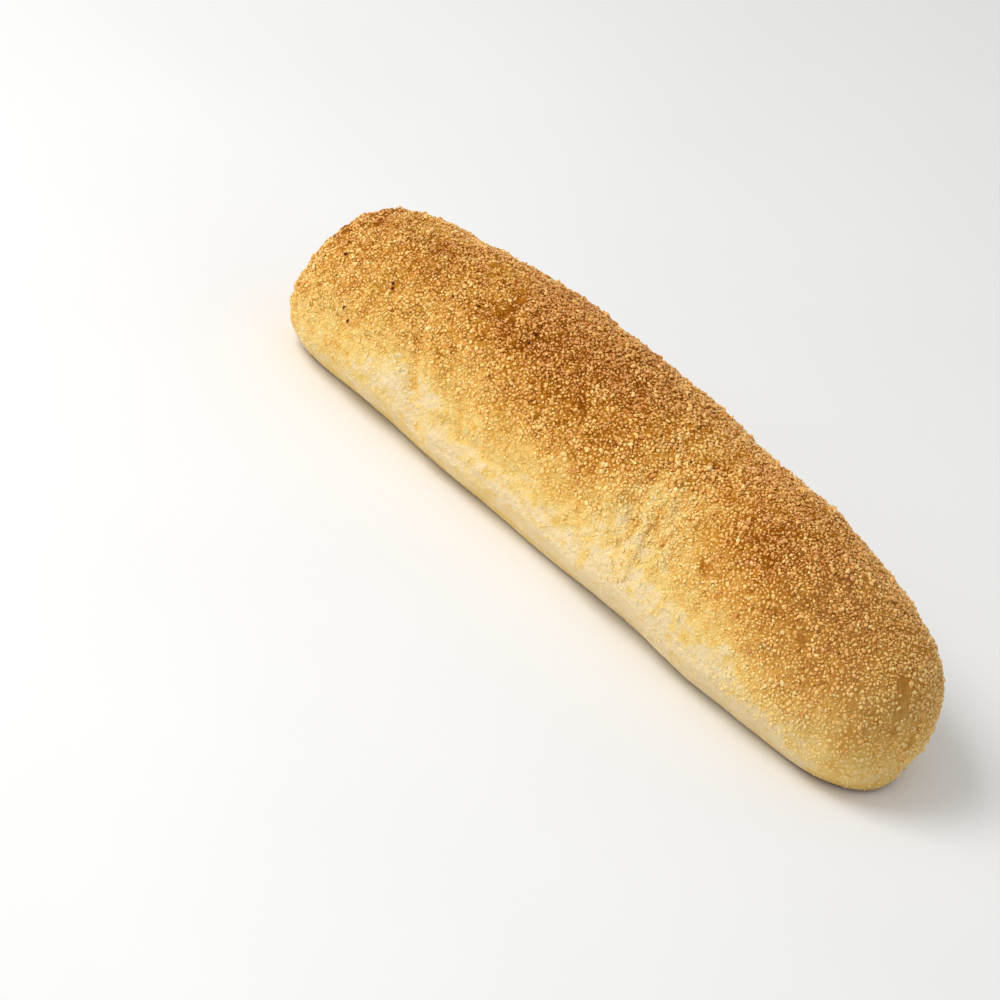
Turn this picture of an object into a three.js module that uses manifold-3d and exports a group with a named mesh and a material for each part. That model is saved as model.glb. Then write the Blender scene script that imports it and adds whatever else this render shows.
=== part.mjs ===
// Semolina loaf: a long soft roll with round ends and a flat underside, crusted with coarse semolina.
// Millimetres, +Z up. X runs along the loaf, and the origin is on the floor under the middle of its box.
import * as THREE from 'three';
import { mergeVertices } from 'three/addons/utils/BufferGeometryUtils.js';
import Module from 'manifold-3d';

// Bare dough, before the semolina
const LENGTH = 219;
const WIDTH = 68;
const HEIGHT = 47.2;
const GIRTH_LEVEL = 15.1; // height of the widest line
const BELLY_DEPTH = 19.9; // the belly would reach this far below that line if the floor did not cut it
const BASE_ROUNDING = 2; // the edge of the underside is eased over this height
const BOW = 7.4; // the middle lies this far to one side of the ends

// The plan is a superellipse. The crown and the belly fall towards a tip as powers of the girth.
const FAR_END = { roundness: 4.9, crownFall: 0.93 };
const NEAR_END = { roundness: 3.4, crownFall: 1.01 };
const BELLY_FALL = 0.38;
const CROWN_POWER = 2; // a round arch above the widest line
const BELLY_POWER = 2.1; // a little squarer below it

// Gentle rises and dips along the crown: place along X, height and spread
const CROWN_WAVES = [
  { at: -75, rise: -0.6, spread: 15 },
  { at: -20, rise: 0.8, spread: 26 },
  { at: 29, rise: -0.7, spread: 11 },
  { at: 60, rise: 0.7, spread: 18 },
  { at: 88, rise: -0.7, spread: 10 },
];

// Creases pressed into the two long sides, as lines between two points of X and Z
const CREASES = [
  { side: -1, from: [-63, 35], to: [-48, 12], depth: 1.3, width: 3 },
  { side: -1, from: [20, 44], to: [25, 24], depth: 1.1, width: 2.8 },
  { side: -1, from: [31, 42], to: [33, 20], depth: 1.2, width: 2.6 },
  { side: -1, from: [41, 39], to: [40, 23], depth: 0.9, width: 2.6 },
  { side: -1, from: [-40, 17], to: [-8, 19], depth: 0.9, width: 2.5 },
  { side: 1, from: [-72, 14], to: [6, 18], depth: 1.5, width: 3 },
  { side: 1, from: [-35, 23], to: [48, 21], depth: 1.2, width: 3 },
  { side: 1, from: [58, 38], to: [64, 16], depth: 1.1, width: 3 },
];

// Slow unevenness of hand-rolled dough: waves along the loaf and lobes around it
const UNEVENNESS = [
  { height: 0.35, waves: 3, lobes: 2, phase: 0.7 },
  { height: 0.3, waves: 5, lobes: -3, phase: 2.1 },
  { height: 0.25, waves: 9, lobes: 4, phase: 4.4 },
];

// The coarsest grains of the coat
const GRAIN_TRIES = 430;
const GRAIN_SCATTER = { share: 0.02, angle: 0.16 }; // how far a grain strays from its even place
const GRAIN_RADIUS = { smallest: 0.8, largest: 1.15 };
const GRAIN_FLATTENING = [1, 0.86, 0.74];
const GRAIN_SINK = 0.3; // share of the radius that the centre lies under the skin
const GRAIN_LOWEST = 7; // none sits lower than this
const GRAIN_THICK_FROM = 30; // from this height up the coat is full
const GRAIN_SEED = 20461;
const EVEN_SPREAD = 1.32471795724; // multiples of its first two inverse powers cover a square evenly

// Facets
const RINGS = 76;
const POINTS_PER_RING = 34;
const OUTLINE_STEPS = 3000;
const NORMAL_STEP = 1e-3;
const FULL_TURN = 2 * Math.PI;

const CRUST = new THREE.MeshStandardMaterial({ color: 0xd8a45c, roughness: 0.9, metalness: 0 });

function signedPower(value, power) {
  return Math.sign(value) * Math.abs(value) ** power;
}

function seededDraw(seed) {
  let state = seed;
  return function draw() {
    state = (state + 0x6d2b79f5) | 0;
    let mixed = Math.imul(state ^ (state >>> 15), 1 | state);
    mixed = (mixed + Math.imul(mixed ^ (mixed >>> 7), 61 | mixed)) ^ mixed;
    return ((mixed ^ (mixed >>> 14)) >>> 0) / 2 ** 32;
  };
}

// Half the plan's edge from tip to tip, with the length walked so far
function walkPlan() {
  const walk = [];
  let walked = 0;
  for (let step = 0; step <= OUTLINE_STEPS; step++) {
    const turn = Math.PI * (step / OUTLINE_STEPS - 0.5);
    const end = turn < 0 ? FAR_END : NEAR_END;
    const reach = Math.sin(turn);
    const x = (LENGTH / 2) * signedPower(reach, 2 / end.roundness);
    const girth = (1 - reach ** 2) ** (1 / end.roundness);
    const last = walk.at(-1) ?? { x, girth };
    walked += Math.hypot(x - last.x, (girth - last.girth) * WIDTH / 2);
    walk.push({ x, girth, walked });
  }
  return walk;
}

const PLAN = walkPlan();

// The place along X, and the share of the full girth there, after a share of the plan's edge
function stationAt(share) {
  const goal = Math.min(share, 1) * PLAN.at(-1).walked;
  const next = Math.max(1, PLAN.findIndex((point) => point.walked >= goal));
  const before = PLAN[next - 1];
  const after = PLAN[next];
  const part = (goal - before.walked) / (after.walked - before.walked);
  return {
    x: THREE.MathUtils.lerp(before.x, after.x, part),
    girth: THREE.MathUtils.lerp(before.girth, after.girth, part),
  };
}

function creaseDepth(crease, x, z) {
  const [x0, z0] = crease.from;
  const [dx, dz] = [crease.to[0] - x0, crease.to[1] - z0];
  const along = ((x - x0) * dx + (z - z0) * dz) / (dx * dx + dz * dz);
  const nearest = THREE.MathUtils.clamp(along, 0, 1);
  const away = Math.hypot(x - x0 - nearest * dx, z - z0 - nearest * dz);
  return crease.depth * Math.exp(-((away / crease.width) ** 2));
}

// Height of the relief over the plain form
function relief(x, z, angle) {
  let height = 0;
  for (const wave of CROWN_WAVES) {
    const crown = Math.max(0, Math.sin(angle));
    height += wave.rise * crown * Math.exp(-(((x - wave.at) / wave.spread) ** 2));
  }
  for (const lump of UNEVENNESS) {
    const along = (Math.PI * lump.waves * x) / LENGTH;
    height += lump.height * Math.sin(along + lump.lobes * angle + lump.phase);
  }
  for (const crease of CREASES) {
    const onSide = crease.side * Math.cos(angle) > 0;
    height -= onSide ? creaseDepth(crease, x, z) : 0;
  }
  return height;
}

// Lays on the floor whatever would reach below it
function rest(z) {
  const eased = (z + BASE_ROUNDING) ** 2 / (4 * BASE_ROUNDING);
  const above = z > BASE_ROUNDING ? z : eased;
  return z < -BASE_ROUNDING ? 0 : above;
}

// A point of the dough's skin. The angle turns about the length, from +Y over the crown.
function skinPoint(share, angle) {
  const { x, girth } = stationAt(share);
  const end = x < 0 ? FAR_END : NEAR_END;
  const [across, up] = [Math.cos(angle), Math.sin(angle)];
  const power = 2 / (up > 0 ? CROWN_POWER : BELLY_POWER);
  const crown = (HEIGHT - GIRTH_LEVEL) * girth ** end.crownFall;
  const belly = BELLY_DEPTH * girth ** BELLY_FALL;
  const y = (WIDTH / 2) * girth * signedPower(across, power);
  const z = GIRTH_LEVEL + (up > 0 ? crown : belly) * signedPower(up, power);
  const lift = relief(x, z, angle) * girth;
  const bow = BOW * (1 - (2 * x / LENGTH) ** 2);
  return new THREE.Vector3(x, y + bow + lift * across, rest(z + lift * up));
}

function skinNormal(share, angle) {
  const spot = skinPoint(share, angle);
  const ahead = skinPoint(share + NORMAL_STEP, angle).sub(spot);
  const around = skinPoint(share, angle + NORMAL_STEP).sub(spot);
  return ahead.cross(around).normalize();
}

function bareGeometry(geometry) {
  geometry.deleteAttribute('normal');
  geometry.deleteAttribute('uv');
  return mergeVertices(geometry);
}

// A sphere's net with its poles at the two tips, moved onto the skin
function doughGeometry() {
  const net = new THREE.SphereGeometry(1, POINTS_PER_RING, RINGS);
  const { position, uv } = net.attributes;
  for (let index = 0; index < position.count; index++) {
    const angle = FULL_TURN * (uv.getX(index) - 0.25);
    const spot = skinPoint(uv.getY(index), angle);
    position.setXYZ(index, spot.x, spot.y, spot.z);
  }
  return bareGeometry(net);
}

// A coarse grain, turned at random and part sunk in the skin
function grainGeometry(spot, outward, draw) {
  const { smallest, largest } = GRAIN_RADIUS;
  const radius = THREE.MathUtils.lerp(smallest, largest, draw());
  const grain = bareGeometry(new THREE.IcosahedronGeometry(radius, 0));
  const turn = new THREE.Euler(FULL_TURN * draw(), FULL_TURN * draw(), FULL_TURN * draw());
  grain.scale(...GRAIN_FLATTENING);
  grain.applyQuaternion(new THREE.Quaternion().setFromEuler(turn));
  const centre = spot.clone().addScaledVector(outward, -GRAIN_SINK * radius);
  return grain.translate(centre.x, centre.y, centre.z);
}

// Grains spread evenly over the skin, thinning out down the sides and towards the tips
function coarseGrains() {
  const draw = seededDraw(GRAIN_SEED);
  const grains = [];
  for (let count = 1; count <= GRAIN_TRIES; count++) {
    const evenShare = (count / EVEN_SPREAD) % 1;
    const evenAngle = FULL_TURN * ((count / EVEN_SPREAD ** 2) % 1);
    const share = THREE.MathUtils.lerp(evenShare, draw(), GRAIN_SCATTER.share);
    const angle = evenAngle + GRAIN_SCATTER.angle * draw();
    const spot = skinPoint(share, angle);
    const cover = THREE.MathUtils.smoothstep(spot.z, GRAIN_LOWEST, GRAIN_THICK_FROM);
    if (draw() < cover * stationAt(share).girth) {
      grains.push(grainGeometry(spot, skinNormal(share, angle), draw));
    }
  }
  return grains;
}

const wasm = await Module();
wasm.setup();

function solidFrom(geometry) {
  const vertProperties = new Float32Array(geometry.attributes.position.array);
  const triVerts = new Uint32Array(geometry.index.array);
  return new wasm.Manifold(new wasm.Mesh({ numProp: 3, vertProperties, triVerts }));
}

function geometryFrom(solid) {
  const mesh = solid.getMesh();
  const geometry = new THREE.BufferGeometry();
  geometry.setAttribute('position', new THREE.BufferAttribute(mesh.vertProperties, 3));
  geometry.setIndex(new THREE.BufferAttribute(mesh.triVerts, 1));
  return geometry;
}

// The dough with its coarse grains baked on, stood over the origin
function loafGeometry() {
  let solid = solidFrom(doughGeometry());
  for (const grain of coarseGrains()) {
    solid = solid.add(solidFrom(grain));
  }
  const geometry = geometryFrom(solid);
  geometry.computeBoundingBox();
  const middle = geometry.boundingBox.getCenter(new THREE.Vector3());
  geometry.translate(-middle.x, -middle.y, -geometry.boundingBox.min.z);
  geometry.computeVertexNormals();
  return geometry;
}

const loaf = new THREE.Mesh(loafGeometry(), CRUST);
loaf.name = 'loaf';

const part = new THREE.Group();
part.add(loaf);

export default part;
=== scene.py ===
"""Dresses the semolina loaf: its baked crust, its coat of semolina, its bran specks and a plain studio.

The file is laid out as an add-on and is run as a script. Lengths are in metres.
"""
import math
from collections import namedtuple

import bpy
import numpy as np
from bpy.props import FloatProperty, FloatVectorProperty, IntProperty, PointerProperty
from mathutils import Matrix, Vector, noise


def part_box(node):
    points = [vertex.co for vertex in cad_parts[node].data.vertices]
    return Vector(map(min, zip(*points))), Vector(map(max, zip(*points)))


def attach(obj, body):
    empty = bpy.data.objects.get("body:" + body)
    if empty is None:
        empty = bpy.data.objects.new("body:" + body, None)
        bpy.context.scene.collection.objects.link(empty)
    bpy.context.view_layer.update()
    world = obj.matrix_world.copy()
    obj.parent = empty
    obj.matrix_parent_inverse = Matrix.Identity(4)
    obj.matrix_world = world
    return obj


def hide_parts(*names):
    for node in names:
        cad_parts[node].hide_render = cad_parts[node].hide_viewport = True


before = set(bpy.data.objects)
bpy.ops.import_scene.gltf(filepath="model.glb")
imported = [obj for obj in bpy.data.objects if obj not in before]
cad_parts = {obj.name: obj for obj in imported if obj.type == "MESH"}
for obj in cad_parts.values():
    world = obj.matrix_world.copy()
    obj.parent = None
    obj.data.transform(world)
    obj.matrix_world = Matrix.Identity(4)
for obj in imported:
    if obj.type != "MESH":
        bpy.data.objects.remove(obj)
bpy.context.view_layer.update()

bl_info = {
    "name": "Semolina Loaf",
    "version": (1, 0, 0),
    "blender": (4, 5, 0),
    "location": "3D View > Sidebar > Loaf",
    "description": "Makes a baked loaf with a coat of semolina, and a plain studio around it",
    "category": "Add Mesh",
}

LOAF_LOW, LOAF_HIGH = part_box("loaf")
LOAF_MIDDLE = (LOAF_LOW + LOAF_HIGH) / 2
BODY = "root"
NODE = "loaf"
MM = 0.001

# Map that the crust and the grains carry for baked colours
BAKE_MAP = "OFBake"

Wave = namedtuple("Wave", "at rise spread")
Crease = namedtuple("Crease", "side start end depth width")
Lump = namedtuple("Lump", "height waves lobes phase")
Zone = namedtuple("Zone", "x z length height amount")
Spot = namedtuple("Spot", "x y z radius")
Ramp = namedtuple("Ramp", "start end amount", defaults=(1,))
Layer = namedtuple("Layer", "share size shift")
Tear = namedtuple("Tear", "size shift width gap gap_shift")
Surface = namedtuple("Surface", "points normals corners toast cover")
Laid = namedtuple("Laid", "corners shares points radii fine heaped")
Grains = namedtuple("Grains", "centres radii outward bake")

# Gentle rises and dips along the crown, in millimetres
CROWN_WAVES = (
    Wave(-75, -0.6, 15),
    Wave(-20, 0.8, 26),
    Wave(29, -0.7, 11),
    Wave(60, 0.7, 18),
    Wave(88, -0.7, 10),
)

# Creases pressed into the two long sides, as lines between points of X and Z, in millimetres
CREASES = (
    Crease(-1, (-63, 35), (-48, 12), 1.3, 3),
    Crease(-1, (20, 44), (25, 24), 1.1, 2.8),
    Crease(-1, (31, 42), (33, 20), 1.2, 2.6),
    Crease(-1, (41, 39), (40, 23), 0.9, 2.6),
    Crease(-1, (-40, 17), (-8, 19), 0.9, 2.5),
    Crease(1, (-72, 14), (6, 18), 1.5, 3),
    Crease(1, (-35, 23), (48, 21), 1.2, 3),
    Crease(1, (58, 38), (64, 16), 1.1, 3),
)

# Fine wrinkles in the pale folds, in millimetres
WRINKLES = (
    Crease(-1, (18.5, 39), (21, 33.5), 0.9, 1.3),
    Crease(-1, (21, 33.5), (25, 26.5), 1.3, 1.5),
    Crease(-1, (27.2, 36.5), (30.2, 30.5), 1.2, 1.4),
    Crease(-1, (28.5, 40.5), (31, 37), 0.8, 1),
    Crease(-1, (36, 38.5), (35.5, 34), 0.8, 1),
    Crease(-1, (34, 31), (36, 26), 0.6, 1.1),
    Crease(-1, (25, 30), (29.5, 29.5), 0.6, 1),
    Crease(-1, (-60.5, 30.5), (-56.3, 24.8), 0.9, 1),
    Crease(-1, (-56.3, 24.8), (-53, 20), 0.7, 1),
    Crease(-1, (-55.5, 24.5), (-51, 24.5), 0.5, 0.9),
    Crease(-1, (-50.5, 33.5), (-45, 29), 0.6, 1.1),
    Crease(-1, (-66, 29), (-65, 20), 0.5, 1.1),
    Crease(-1, (-34, 16.8), (-22, 17.2), 0.7, 1),
    Crease(-1, (-22, 15.5), (-8, 14.5), 0.7, 1),
    Crease(-1, (-4, 16), (16, 15.5), 0.6, 1),
    Crease(1, (-33, 41), (-30, 24), 0.9, 1.2),
    Crease(1, (-26, 41), (-25, 26), 1, 1.2),
    Crease(1, (60, 36), (63, 20), 0.7, 1.2),
)

# Slow unevenness of hand-rolled dough, in millimetres, with its waves along the loaf and lobes around it
UNEVENNESS = (
    Lump(0.35, 3, 2, 0.7),
    Lump(0.3, 5, -3, 2.1),
    Lump(0.25, 9, 4, 4.4),
)

# Patches where the coat has come off, in millimetres
BARE_PATCHES = (
    Spot(104.8, -9.5, 32.5, 2.6),
    Spot(106.5, -10.2, 29.5, 2.8),
    Spot(107.8, -10.5, 26, 2.8),
    Spot(108.8, -12, 20.5, 2.4),
    Spot(109.5, -2.7, 15, 2.8),
    Spot(-48.3, -15, 44, 2.4),
    Spot(-48, -11.6, 45.4, 2.4),
    Spot(-48.8, -7.8, 46.5, 2.2),
    Spot(-44.2, -14.7, 44.4, 1.8),
    Spot(-103, -20, 36, 2),
    Spot(-105.9, -27, 25.8, 1.6),
    Spot(-106, -24.7, 28.6, 2.1),
    Spot(-106.4, -21.7, 31, 2.5),
    Spot(-106.3, -18.5, 33.6, 2.6),
    Spot(-105.6, -15.8, 35.8, 2.1),
    Spot(-107.9, -20.5, 27.8, 2.2),
    Spot(-108.2, -17, 30.4, 2.3),
    Spot(-107.8, -13.8, 32.8, 2.1),
    Spot(19, 22, 44, 3.4),
    Spot(-71, 28, 33, 3.4),
    Spot(-104, 18, 24, 3),
)

# Small heaps of toasted grains low on the sides, in millimetres
CLUSTERS = (
    Spot(43.2, -34, 15.7, 1.5),
    Spot(50, -33.8, 15.8, 1.3),
    Spot(47, -34.5, 12.5, 0.9),
    Spot(49.7, -33.7, 13.1, 1),
    Spot(55.4, -33.7, 15.9, 1.9),
    Spot(47.1, -32.7, 9.6, 0.8),
    Spot(42.7, -32.9, 22.9, 1),
    Spot(62.4, -33, 20.8, 1.2),
    Spot(17, -33.5, 13.6, 1.4),
    Spot(29.7, -34.2, 16.2, 0.9),
    Spot(34.1, -34.1, 16.4, 0.8),
    Spot(28.3, -31.8, 25.3, 1.6),
    Spot(103.3, -24.9, 9.7, 1.6),
    Spot(-30, 35, 13, 1.4),
    Spot(22, 35, 15, 1.2),
)

# Spots that have baked to a reddish brown, in millimetres
SCORCHED_SPOTS = (
    Spot(48.8, -28.4, 33.2, 1.6),
    Spot(-42.9, -17.2, 43.1, 2.6),
    Spot(-35.2, -16, 44, 2),
    Spot(-102.9, -20, 36, 1.2),
    Spot(-82, -31.4, 29.4, 1),
    Spot(30, 21, 43.5, 2.4),
)

# Stretches of both long sides that are baked a little more or less than their surroundings, in millimetres
TOUCHES = (
    Zone(-27, 21, 12, 6, 0.05),
    Zone(-25, 38, 10, 3, -0.07),
    Zone(-65, 35, 9, 6, -0.05),
    Zone(-5, 42, 10, 3, -0.05),
    Zone(55, 38, 8, 4, 0.07),
    Zone(15, 45.5, 10, 4, -0.08),
    Zone(21, 36, 4, 2.5, -0.09),
    Zone(31.5, 35.8, 4, 2.5, -0.09),
    Zone(36, 46.5, 8, 4, 0.14),
    Zone(77, 42, 9, 3, -0.05),
    Zone(76, 47, 8, 3, 0.06),
    Zone(-103, 32, 6, 7, 0.07),
)

# Bran specks that show best, in millimetres
SPECKS = (
    Spot(-94.4, -26.9, 34.6, 0.7),
    Spot(-91.8, -30.8, 29.6, 0.4),
    Spot(-76.8, -26.1, 36.6, 0.5),
    Spot(-75.9, -27.1, 35.5, 0.5),
    Spot(-84, -33.1, 25.4, 0.5),
    Spot(-80.8, -33.9, 23.2, 0.5),
    Spot(-61.4, -19.4, 41.4, 0.6),
    Spot(-54, -17.2, 42.8, 0.5),
    Spot(-36.1, -13.6, 45.1, 0.7),
    Spot(-35.2, -16.4, 43.7, 0.6),
)


def tone(red, green, blue):
    """A colour as a screen shows it, from 0 to 255, turned into the linear one that shaders use."""
    shares = [value / 255 for value in (red, green, blue)]
    linear = [share / 12.92 if share < 0.04045 else ((share + 0.055) / 1.055) ** 2.4 for share in shares]
    return (*linear, 1.0)


def colour_property(name, description, red, green, blue):
    """A colour that a user may change."""
    return FloatVectorProperty(
        name=name, description=description, default=tone(red, green, blue),
        size=4, min=0, max=1, subtype="COLOR",
    )


def length_property(name, description, millimetres):
    """A length that a user may change."""
    length = millimetres * MM
    return FloatProperty(name=name, description=description, default=length, unit="LENGTH", precision=5)


def power_property(name, description, watts):
    """A lamp's power that a user may change."""
    return FloatProperty(name=name, description=description, default=watts, unit="POWER")


def angle_property(name, description, degrees):
    """An angle that a user may change."""
    angle = math.radians(degrees)
    return FloatProperty(name=name, description=description, default=angle, subtype="ANGLE")


def share_property(name, description, default):
    """A plain number that a user may change."""
    return FloatProperty(name=name, description=description, default=default)


class LoafShape(bpy.types.PropertyGroup):
    """Form of the bare dough."""

    length: length_property("Length", "Dough from tip to tip", 219)
    width: length_property("Width", "Dough across its middle", 68)
    height: length_property("Height", "Dough above the floor", 47.2)
    girth_level: length_property("Girth level", "Height of the widest line", 15.1)
    belly_depth: length_property("Belly depth", "Reach of the belly below the widest line, uncut", 19.9)
    base_rounding: length_property("Base rounding", "Height over which the base's edge is eased", 2)
    bow: length_property("Bow", "How far the middle lies to one side of the ends", 7.4)
    far_roundness: share_property("Far roundness", "Power of the plan towards -X", 4.9)
    near_roundness: share_property("Near roundness", "Power of the plan towards +X", 3.4)
    far_fall: share_property("Far fall", "Power by which the crown falls towards -X", 0.93)
    near_fall: share_property("Near fall", "Power by which the crown falls towards +X", 1.01)
    belly_fall: share_property("Belly fall", "Power by which the belly rises towards a tip", 0.38)
    crown_power: share_property("Crown power", "Squareness of the section above the widest line", 2)
    belly_power: share_property("Belly power", "Squareness of the section below the widest line", 2.1)


class CrustLook(bpy.types.PropertyGroup):
    """Bake and surface of the crust."""

    sink: length_property("Sink", "Depth inside the plain form, which leaves room for the coat", 0.7)
    lump_height: length_property("Lump height", "Height of the crust's soft lumps", 0.55)
    rough_height: length_property("Rough height", "Height of the crust's grit", 0.3)
    crumb_height: length_property("Crumb height", "Height of the crumbs that the crust breaks into", 0.5)
    fold_height: length_property("Fold height", "Height of the small lumps in the pale folds", 1.2)
    wrinkle_sway: length_property("Wrinkle sway", "How far the wrinkles stray from straight lines", 1.2)
    crack_depth: length_property("Crack depth", "Depth of the fine cracks along the crown", 0.4)
    ripple_depth: length_property("Ripple depth", "Depth of the long ripples low on the sides", 0.3)
    pale_level: length_property("Pale level", "Height up to which the sides stay pale", 15)
    bake_rise: length_property("Bake rise", "Height over which the crust goes from pale to brown", 31)
    dough: colour_property("Dough", "Pale dough low on the sides", 241, 217, 170)
    straw: colour_property("Straw", "Crust that has just begun to colour", 240, 204, 122)
    gold: colour_property("Gold", "Golden crust", 228, 173, 80)
    amber: colour_property("Amber", "Well baked crust", 190, 123, 28)
    brown: colour_property("Brown", "Darkest crust, along the crown", 150, 82, 5)
    tan: colour_property("Tan", "Smooth skin of the rounder end", 200, 154, 86)
    base: colour_property("Base", "Crust of the underside", 172, 116, 56)


class CoatLook(bpy.types.PropertyGroup):
    """Semolina grains and bran specks."""

    smallest: length_property("Smallest", "Radius of the smallest grain", 0.31)
    largest: length_property("Largest", "Radius of the largest grain", 0.9)
    tries: share_property("Tries", "Grains tried on each square millimetre where the coat is full", 5)
    fine_smallest: length_property("Fine smallest", "Radius of the smallest fine grain", 0.16)
    fine_largest: length_property("Fine largest", "Radius of the largest fine grain", 0.3)
    fine_tries: share_property("Fine tries", "Fine grains tried on each square millimetre", 1.2)
    overlap: share_property("Overlap", "Spacing of two grains as a share of their radii", 0.76)
    seed: IntProperty(name="Seed", description="Start of the random draws", default=73)
    clump_tries: share_property("Clump tries", "Grains tried on each square millimetre of a clump", 0.8)
    speck_count: share_property("Speck count", "Specks on a square millimetre of the brownest crust", 0.01)
    pale: colour_property("Pale", "Unbaked grain", 241, 212, 142)
    straw: colour_property("Straw", "Lightly baked grain", 248, 207, 124)
    golden: colour_property("Golden", "Golden grain", 243, 189, 103)
    toasted: colour_property("Toasted", "Toasted grain", 214, 146, 70)
    dull: colour_property("Dull", "Tan that the grains of the rounder end lean to", 190, 152, 86)
    bran: colour_property("Bran", "Dark bran speck", 70, 30, 12)


class StudioLook(bpy.types.PropertyGroup):
    """Floor, light and camera."""

    floor: colour_property("Floor", "Pale floor", 244, 244, 243)
    floor_size: length_property("Floor size", "Side of the floor", 6000)
    sky: share_property("Sky", "Strength of the even light from all round", 0.58)
    key_power: power_property("Key power", "Power of the main lamp", 5.9)
    key_size: length_property("Key size", "Side of the main lamp", 500)
    fill_power: power_property("Fill power", "Power of the low lamp", 1.3)
    fill_size: length_property("Fill size", "Side of the low lamp", 800)
    lamp_distance: length_property("Lamp distance", "Both lamps from the loaf", 1000)
    azimuth: angle_property("Azimuth", "Camera's place round the loaf", 35.89)
    elevation: angle_property("Elevation", "Camera's height over the horizon", 29.86)
    roll: angle_property("Roll", "Camera's turn about its own line of sight", 21.01)
    distance: length_property("Distance", "Camera from the point that it looks at", 1264.3)
    aim_height: length_property("Aim height", "Height of the point that the aim is measured from", 20)
    aim_right: length_property("Aim right", "Aim to the right in the picture", -34.5)
    aim_up: length_property("Aim up", "Aim upwards in the picture", -5.05)
    lens: FloatProperty(name="Lens", description="Focal length", default=174.6, unit="CAMERA")


# Form

OUTLINE_STEPS = 20000
OUTLINE_CROWDING = 2.2  # evens out the fine steps along the plan's edge
RINGS = 372
POINTS_PER_RING = 252
UNDERSIDE_SHARE = 0.3  # points of a ring lie this much thinner on the underside
UNDERSIDE_HEIGHT = 1 * MM
TINY = 1e-15


def signed_power(values, power):
    """A power that keeps the sign."""
    return np.sign(values) * np.abs(values) ** power


def unit(vectors):
    """Vectors of length 1."""
    return vectors / np.maximum(np.linalg.norm(vectors, axis=1, keepdims=True), TINY)


def smooth_step(low, high, values):
    """Climbs smoothly from 0 at low to 1 at high."""
    share = np.clip((values - low) / (high - low), 0, 1)
    return share * share * (3 - 2 * share)


def hump(values, middle, spread):
    """A smooth hump, 1 at its middle."""
    return np.exp(-(((values - middle) / spread) ** 2))


def climb(ramp, values):
    """Climbs smoothly from 0 at the ramp's start to its amount at its end."""
    return ramp.amount * smooth_step(ramp.start, ramp.end, values)


def wave_at(wave, values):
    """Height of a wave."""
    return wave.rise * hump(values, wave.at, wave.spread)


def zone_at(zone, x, z):
    """A zone's amount at its middle, fading along X and Z."""
    return zone.amount * hump(x, zone.x, zone.length) * hump(z, zone.z, zone.height)


def x_and_z(points):
    """Places along X and heights, in millimetres."""
    return points[:, 0] / MM, points[:, 2] / MM


def layered(layers, points):
    """Sum of layers of smooth noise, each from about minus to plus its share.

    A layer's lumps are about as large as its size in millimetres, which may differ along X, Y and Z.
    """
    result = 0
    for layer in layers:
        places = points / (np.array(layer.size) * MM) + layer.shift
        result = result + layer.share * np.array([noise.noise(place) for place in places.tolist()])
    return result


def stations(shape, count):
    """Place along X and share of the full girth, at even steps along the plan's edge from tip to tip."""
    walk = np.linspace(-1, 1, OUTLINE_STEPS + 1)
    turn = math.pi / 2 * signed_power(walk, OUTLINE_CROWDING)
    roundness = np.where(turn < 0, shape.far_roundness, shape.near_roundness)
    reach = np.sin(turn)
    x = shape.length / 2 * signed_power(reach, 2 / roundness)
    girth = np.maximum(1 - reach**2, 0) ** (1 / roundness)
    steps = np.hypot(np.diff(x), np.diff(girth) * shape.width / 2)
    walked = np.concatenate([[0], np.cumsum(steps)])
    goals = np.linspace(0, walked[-1], count)
    return np.interp(goals, walked, x), np.interp(goals, walked, girth)


def crease_depth(crease, x, z):
    """Depth of one crease at places on its side."""
    (x0, z0), (x1, z1) = crease.start, crease.end
    along = ((x / MM - x0) * (x1 - x0) + (z / MM - z0) * (z1 - z0)) / ((x1 - x0) ** 2 + (z1 - z0) ** 2)
    share = np.clip(along, 0, 1)
    away = np.hypot(x / MM - x0 - share * (x1 - x0), z / MM - z0 - share * (z1 - z0))
    return crease.depth * MM * hump(away, 0, crease.width)


def broad_relief(shape, x, z, angle):
    """Height of the slow relief over the plain form."""
    height = np.zeros_like(x)
    for wave in CROWN_WAVES:
        height += wave.rise * MM * np.maximum(0, np.sin(angle)) * hump(x / MM, wave.at, wave.spread)
    for lump in UNEVENNESS:
        along = math.pi * lump.waves * x / shape.length
        height += lump.height * MM * np.sin(along + lump.lobes * angle + lump.phase)
    for crease in CREASES:
        on_side = crease.side * np.cos(angle) > 0
        height -= np.where(on_side, crease_depth(crease, x, z), 0)
    return height


def rest_on_floor(shape, z):
    """Lays on the floor whatever would reach below it."""
    ease = shape.base_rounding
    eased = (z + ease) ** 2 / (4 * ease)
    return np.where(z > ease, z, np.where(z < -ease, 0, eased))


def skin(shape, x, girth, angle):
    """Points of the dough's skin. The angle turns about the length, from +Y over the crown."""
    across, up = np.cos(angle), np.sin(angle)
    above = up > 0
    power = 2 / np.where(above, shape.crown_power, shape.belly_power)
    fall = np.where(x < 0, shape.far_fall, shape.near_fall)
    crown = (shape.height - shape.girth_level) * girth**fall
    belly = shape.belly_depth * girth**shape.belly_fall
    y = shape.width / 2 * girth * signed_power(across, power)
    z = shape.girth_level + np.where(above, crown, belly) * signed_power(up, power)
    lift = broad_relief(shape, x, z, angle) * girth
    bow = shape.bow * (1 - (2 * x / shape.length) ** 2)
    return np.stack([x, y + bow + lift * across, rest_on_floor(shape, z + lift * up)], -1)


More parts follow.
